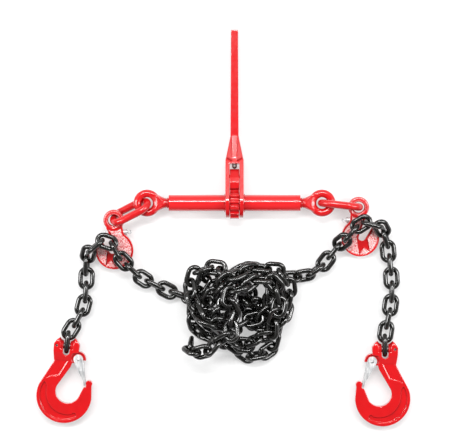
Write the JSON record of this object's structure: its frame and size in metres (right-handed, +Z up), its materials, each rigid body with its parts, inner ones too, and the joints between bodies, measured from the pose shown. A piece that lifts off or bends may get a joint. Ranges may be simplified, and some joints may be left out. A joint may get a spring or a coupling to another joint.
{
  "type": "load binder chain",
  "caption": "Ratchet load binder with eye screws, coupling links, pinned shortening hooks and a lashing chain that ends in latched clevis sling hooks",
  "frame": {"origin": "on the ground under the middle of the assembly", "axes": "+X along the barrel to the right-hand eye, +Y along the handle, +Z up from the ground"},
  "size_m": [0.7857, 0.834, 0.111],
  "materials": {
    "red_paint": "gloss red enamel on forged steel",
    "chain_black": "black lacquered alloy chain",
    "zinc": "zinc plated",
    "dark_steel": "oiled hardened steel",
    "spring_steel": "spring steel"
  },
  "bodies": {
    "chain_pile": {"pile_chain_1": "chain_black", "pile_chain_2": "chain_black", "pile_chain_3": "chain_black", "pile_chain_4": "chain_black"},
    "barrel": {"barrel_tube": "red_paint", "ratchet_gear": "red_paint", "retaining_rings": "red_paint"},
    "handle": {"handle": "red_paint", "pawl_pin": "red_paint", "detent_spring": "spring_steel"},
    "pawl": {"pawl": "red_paint"},
    "detent_plunger": {"detent_plunger": "dark_steel"},
    "left_eye": {"left_eye_bolt": "red_paint"},
    "left_coupling": {"left_coupling_link": "red_paint"},
    "left_shortener": {"left_shortening_hook": "red_paint", "left_pin_bushing": "zinc", "left_pin_spring": "spring_steel", "left_seated_links": "chain_black", "left_run_chain": "chain_black"},
    "left_safety_pin": {"left_safety_pin": "zinc"},
    "left_leg": {"left_leg_chain": "chain_black", "left_clevis_link": "chain_black"},
    "left_sling": {"left_sling_hook": "red_paint", "left_load_pin": "dark_steel", "left_locking_pin": "dark_steel", "left_latch_rivet": "zinc", "left_latch_spring": "spring_steel"},
    "left_latch": {"left_latch": "zinc"},
    "right_eye": {"right_eye_bolt": "red_paint"},
    "right_coupling": {"right_coupling_link": "red_paint"},
    "right_shortener": {"right_shortening_hook": "red_paint", "right_pin_bushing": "zinc", "right_pin_spring": "spring_steel", "right_seated_links": "chain_black", "right_run_chain": "chain_black"},
    "right_safety_pin": {"right_safety_pin": "zinc"},
    "right_leg": {"right_leg_chain": "chain_black", "right_clevis_link": "chain_black"},
    "right_sling": {"right_sling_hook": "red_paint", "right_load_pin": "dark_steel", "right_locking_pin": "dark_steel", "right_latch_rivet": "zinc", "right_latch_spring": "spring_steel"},
    "right_latch": {"right_latch": "zinc"}
  },
  "joints": [
    {"name": "barrel_spin", "type": "hinge", "parent": "chain_pile", "child": "barrel", "pos_m": [0.02347, 0.05235, 0.0332], "axis": [1, 0, 0], "range_deg": [0, 4320]},
    {"name": "handle_swing", "type": "hinge", "parent": "chain_pile", "child": "handle", "pos_m": [0.02347, 0.05235, 0.0332], "axis": [1, 0, 0], "range_deg": [0, 154.29]},
    {"name": "pawl_tilt", "type": "hinge", "parent": "handle", "child": "pawl", "pos_m": [0.02347, 0.10821, 0.02929], "axis": [1, 0, 0], "range_deg": [-11.5, 11.5]},
    {"name": "detent_press", "type": "slide", "parent": "handle", "child": "detent_plunger", "axis": [0, 0.9976, -0.0698], "range_m": [0, 0.0014], "stiffness_N_per_m": 900, "springref_m": -0.003},
    {"name": "left_screw", "type": "slide", "parent": "chain_pile", "child": "left_eye", "axis": [-1, 0, 0], "range_m": [0, 0.0721]},
    {"name": "left_link_swing", "type": "hinge", "parent": "left_eye", "child": "left_coupling", "pos_m": [-0.16003, 0.05235, 0.0332], "axis": [0, 0, 1], "range_deg": [-4, 4]},
    {"name": "left_hook_swing", "type": "hinge", "parent": "left_coupling", "child": "left_shortener", "pos_m": [-0.23003, 0.01685, 0.025], "axis": [0, 0, 1], "range_deg": [-4, 4]},
    {"name": "left_pin_pull", "type": "slide", "parent": "left_shortener", "child": "left_safety_pin", "axis": [0.9998, 0.0175, 0], "range_m": [0, 0.011], "stiffness_N_per_m": 700, "springref_m": -0.004, "deforming": ["left_pin_spring"]},
    {"name": "left_leg_swing", "type": "hinge", "parent": "left_shortener", "child": "left_leg", "pos_m": [-0.27703, -0.04515, 0.037], "axis": [0, 0, 1], "range_deg": [-20, 4]},
    {"name": "left_hook_lift", "type": "hinge", "parent": "left_leg", "child": "left_sling", "pos_m": [-0.32853, -0.24765, 0.0176], "axis": [-0.9945, 0.1045, 0], "range_deg": [0, 85]},
    {"name": "left_latch_open", "type": "hinge", "parent": "left_sling", "child": "left_latch", "pos_m": [-0.30462, -0.27559, 0.01667], "axis": [0.0038, 0.0364, -0.9993], "range_deg": [0, 33], "stiffness_Nm_per_rad": 0.25, "springref_deg": -28.65},
    {"name": "right_screw", "type": "slide", "parent": "chain_pile", "child": "right_eye", "axis": [1, 0, 0], "range_m": [0, 0.0721]},
    {"name": "right_link_swing", "type": "hinge", "parent": "right_eye", "child": "right_coupling", "pos_m": [0.20697, 0.05235, 0.0332], "axis": [0, 0, 1], "range_deg": [-4, 4]},
    {"name": "right_hook_swing", "type": "hinge", "parent": "right_coupling", "child": "right_shortener", "pos_m": [0.28397, 0.04385, 0.025], "axis": [0, 0, 1], "range_deg": [-4, 4]},
    {"name": "right_pin_pull", "type": "slide", "parent": "right_shortener", "child": "right_safety_pin", "axis": [-0.9982, -0.0593, 0], "range_m": [0, 0.011], "stiffness_N_per_m": 700, "springref_m": -0.004, "deforming": ["right_pin_spring"]},
    {"name": "right_leg_swing", "type": "hinge", "parent": "right_shortener", "child": "right_leg", "pos_m": [0.33697, -0.01215, 0.0305], "axis": [0, 0, 1], "range_deg": [-4, 20]},
    {"name": "right_hook_lift", "type": "hinge", "parent": "right_leg", "child": "right_sling", "pos_m": [0.33947, -0.25465, 0.0176], "axis": [-1, 0, 0], "range_deg": [0, 85]},
    {"name": "right_latch_open", "type": "hinge", "parent": "right_sling", "child": "right_latch", "pos_m": [0.31277, -0.27993, 0.01667], "axis": [0, -0.0366, 0.9993], "range_deg": [0, 33], "stiffness_Nm_per_rad": 0.25, "springref_deg": -28.65}
  ],
  "couplings": [
    {"joint": "left_screw", "follows": "barrel_spin", "m_per_rad": 0.00095493},
    {"joint": "left_hook_swing", "follows": "left_link_swing", "ratio": -1},
    {"joint": "right_screw", "follows": "barrel_spin", "m_per_rad": 0.00095493},
    {"joint": "right_hook_swing", "follows": "right_link_swing", "ratio": -1}
  ]
}
